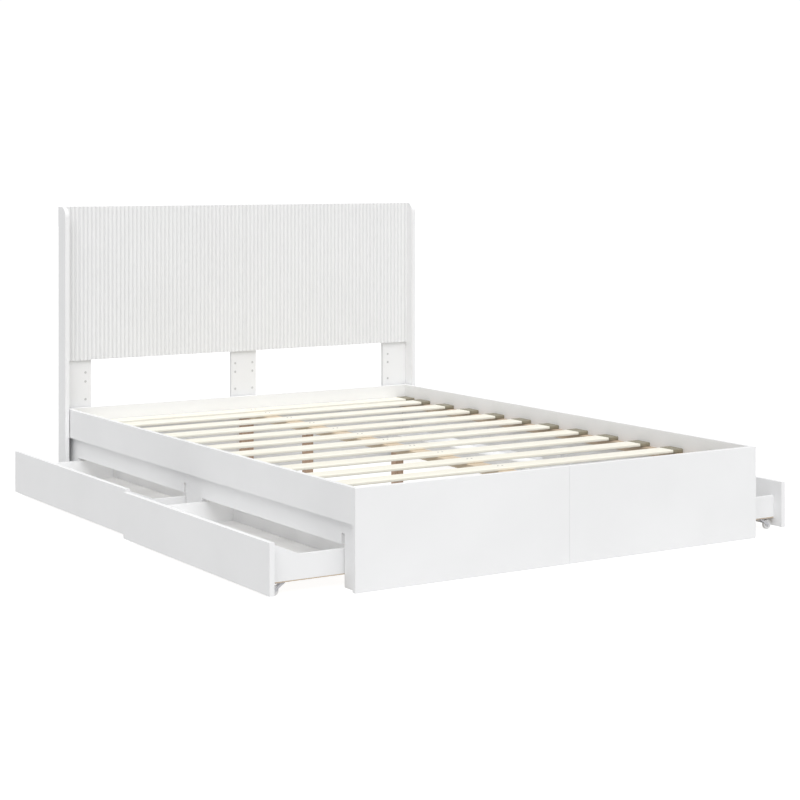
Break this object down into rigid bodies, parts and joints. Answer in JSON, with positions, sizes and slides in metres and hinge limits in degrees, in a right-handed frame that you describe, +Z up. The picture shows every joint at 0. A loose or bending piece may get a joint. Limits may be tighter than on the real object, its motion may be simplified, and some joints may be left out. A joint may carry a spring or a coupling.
{
  "type": "storage bed frame",
  "caption": "White double bed frame with wooden slats, a fluted headboard and rolling drawers under both long sides.",
  "frame": {"origin": "on the floor, in the middle of the box that encloses the bed with its drawers pulled out as stored", "axes": "+X to the right seen from the foot end, +Y from the foot end to the headboard, +Z up"},
  "size_m": [1.894, 2.055, 1],
  "materials": {
    "white_laminate": "matt white melamine-faced chipboard",
    "fluted_laminate": "matt white foil over grooved board",
    "slat_wood": "pale planed softwood, unvarnished",
    "beam_timber": "planed pine, warm orange-beige",
    "brown_timber": "sawn brown timber",
    "hardboard": "thin hardboard, white face and raw brown edge",
    "cap_plastic": "olive-grey moulded plastic",
    "cover_cap_plastic": "light grey plastic screw covers",
    "screw_steel": "zinc-plated screw heads",
    "castor_metal": "pale zinc-coated pressed steel",
    "castor_plastic": "white nylon"
  },
  "bodies": {
    "frame": {"footboard_left": "white_laminate", "footboard_right": "white_laminate", "side_rail_left_foot": "white_laminate", "side_rail_left_head": "white_laminate", "side_rail_right_foot": "white_laminate", "side_rail_right_head": "white_laminate", "head_end_board": "white_laminate", "apron_left": "white_laminate", "apron_right": "white_laminate", "legs_left": "white_laminate", "legs_right": "white_laminate", "ledger_left": "brown_timber", "ledger_right": "brown_timber", "centre_beam": "beam_timber", "centre_beam_legs": "brown_timber", "beam_end_blocks": "brown_timber", "slats": "slat_wood", "slat_caps": "cap_plastic", "slat_screws": "screw_steel", "wing_left": "white_laminate", "wing_right": "white_laminate", "post_left": "white_laminate", "post_centre": "white_laminate", "post_right": "white_laminate", "fluted_panel_left": "fluted_laminate", "fluted_panel_right": "fluted_laminate", "headboard_packers": "white_laminate", "headboard_screws": "cover_cap_plastic"},
    "left_foot_drawer": {"left_foot_drawer_front": "white_laminate", "left_foot_drawer_side_plain": "white_laminate", "left_foot_drawer_side_raised": "white_laminate", "left_foot_drawer_back": "white_laminate", "left_foot_drawer_bottom": "hardboard", "left_foot_drawer_castor_brackets": "castor_metal"},
    "left_foot_drawer_front_wheels": {"left_foot_drawer_front_wheels": "castor_plastic"},
    "left_foot_drawer_rear_wheels": {"left_foot_drawer_rear_wheels": "castor_plastic"},
    "left_head_drawer": {"left_head_drawer_front": "white_laminate", "left_head_drawer_side_plain": "white_laminate", "left_head_drawer_side_raised": "white_laminate", "left_head_drawer_back": "white_laminate", "left_head_drawer_bottom": "hardboard", "left_head_drawer_castor_brackets": "castor_metal"},
    "left_head_drawer_front_wheels": {"left_head_drawer_front_wheels": "castor_plastic"},
    "left_head_drawer_rear_wheels": {"left_head_drawer_rear_wheels": "castor_plastic"},
    "right_foot_drawer": {"right_foot_drawer_front": "white_laminate", "right_foot_drawer_side_plain": "white_laminate", "right_foot_drawer_side_raised": "white_laminate", "right_foot_drawer_back": "white_laminate", "right_foot_drawer_bottom": "hardboard", "right_foot_drawer_castor_brackets": "castor_metal"},
    "right_foot_drawer_front_wheels": {"right_foot_drawer_front_wheels": "castor_plastic"},
    "right_foot_drawer_rear_wheels": {"right_foot_drawer_rear_wheels": "castor_plastic"},
    "right_head_drawer": {"right_head_drawer_front": "white_laminate", "right_head_drawer_side_plain": "white_laminate", "right_head_drawer_side_raised": "white_laminate", "right_head_drawer_back": "white_laminate", "right_head_drawer_bottom": "hardboard", "right_head_drawer_castor_brackets": "castor_metal"},
    "right_head_drawer_front_wheels": {"right_head_drawer_front_wheels": "castor_plastic"},
    "right_head_drawer_rear_wheels": {"right_head_drawer_rear_wheels": "castor_plastic"}
  },
  "joints": [
    {"name": "left_foot_drawer_slide", "type": "slide", "parent": "frame", "child": "left_foot_drawer", "axis": [-1, 0, 0], "range_m": [-0.231, 0.118]},
    {"name": "left_foot_drawer_front_wheels_spin", "type": "hinge", "parent": "left_foot_drawer", "child": "left_foot_drawer_front_wheels", "pos_m": [-0.912, -0.5045, 0.015], "axis": [0, 1, 0], "range_deg": [-900, 900]},
    {"name": "left_foot_drawer_rear_wheels_spin", "type": "hinge", "parent": "left_foot_drawer", "child": "left_foot_drawer_rear_wheels", "pos_m": [-0.617, -0.5045, 0.015], "axis": [0, 1, 0], "range_deg": [-900, 900]},
    {"name": "left_head_drawer_slide", "type": "slide", "parent": "frame", "child": "left_head_drawer", "axis": [-1, 0, 0], "range_m": [-0.204, 0.145]},
    {"name": "left_head_drawer_front_wheels_spin", "type": "hinge", "parent": "left_head_drawer", "child": "left_head_drawer_front_wheels", "pos_m": [-0.885, 0.4855, 0.015], "axis": [0, 1, 0], "range_deg": [-900, 900]},
    {"name": "left_head_drawer_rear_wheels_spin", "type": "hinge", "parent": "left_head_drawer", "child": "left_head_drawer_rear_wheels", "pos_m": [-0.59, 0.4855, 0.015], "axis": [0, 1, 0], "range_deg": [-900, 900]},
    {"name": "right_foot_drawer_slide", "type": "slide", "parent": "frame", "child": "right_foot_drawer", "axis": [1, 0, 0], "range_m": [-0.167, 0.182]},
    {"name": "right_foot_drawer_front_wheels_spin", "type": "hinge", "parent": "right_foot_drawer", "child": "right_foot_drawer_front_wheels", "pos_m": [0.848, -0.5045, 0.015], "axis": [0, 1, 0], "range_deg": [-900, 900]},
    {"name": "right_foot_drawer_rear_wheels_spin", "type": "hinge", "parent": "right_foot_drawer", "child": "right_foot_drawer_rear_wheels", "pos_m": [0.553, -0.5045, 0.015], "axis": [0, 1, 0], "range_deg": [-900, 900]},
    {"name": "right_head_drawer_slide", "type": "slide", "parent": "frame", "child": "right_head_drawer", "axis": [1, 0, 0], "range_m": [-0.231, 0.118]},
    {"name": "right_head_drawer_front_wheels_spin", "type": "hinge", "parent": "right_head_drawer", "child": "right_head_drawer_front_wheels", "pos_m": [0.912, 0.4855, 0.015], "axis": [0, 1, 0], "range_deg": [-900, 900]},
    {"name": "right_head_drawer_rear_wheels_spin", "type": "hinge", "parent": "right_head_drawer", "child": "right_head_drawer_rear_wheels", "pos_m": [0.617, 0.4855, 0.015], "axis": [0, 1, 0], "range_deg": [-900, 900]}
  ],
  "couplings": [
    {"joint": "left_foot_drawer_front_wheels_spin", "follows": "left_foot_drawer_slide", "rad_per_m": -66.667},
    {"joint": "left_foot_drawer_rear_wheels_spin", "follows": "left_foot_drawer_slide", "rad_per_m": -66.667},
    {"joint": "left_head_drawer_front_wheels_spin", "follows": "left_head_drawer_slide", "rad_per_m": -66.667},
    {"joint": "left_head_drawer_rear_wheels_spin", "follows": "left_head_drawer_slide", "rad_per_m": -66.667},
    {"joint": "right_foot_drawer_front_wheels_spin", "follows": "right_foot_drawer_slide", "rad_per_m": 66.667},
    {"joint": "right_foot_drawer_rear_wheels_spin", "follows": "right_foot_drawer_slide", "rad_per_m": 66.667},
    {"joint": "right_head_drawer_front_wheels_spin", "follows": "right_head_drawer_slide", "rad_per_m": 66.667},
    {"joint": "right_head_drawer_rear_wheels_spin", "follows": "right_head_drawer_slide", "rad_per_m": 66.667}
  ]
}
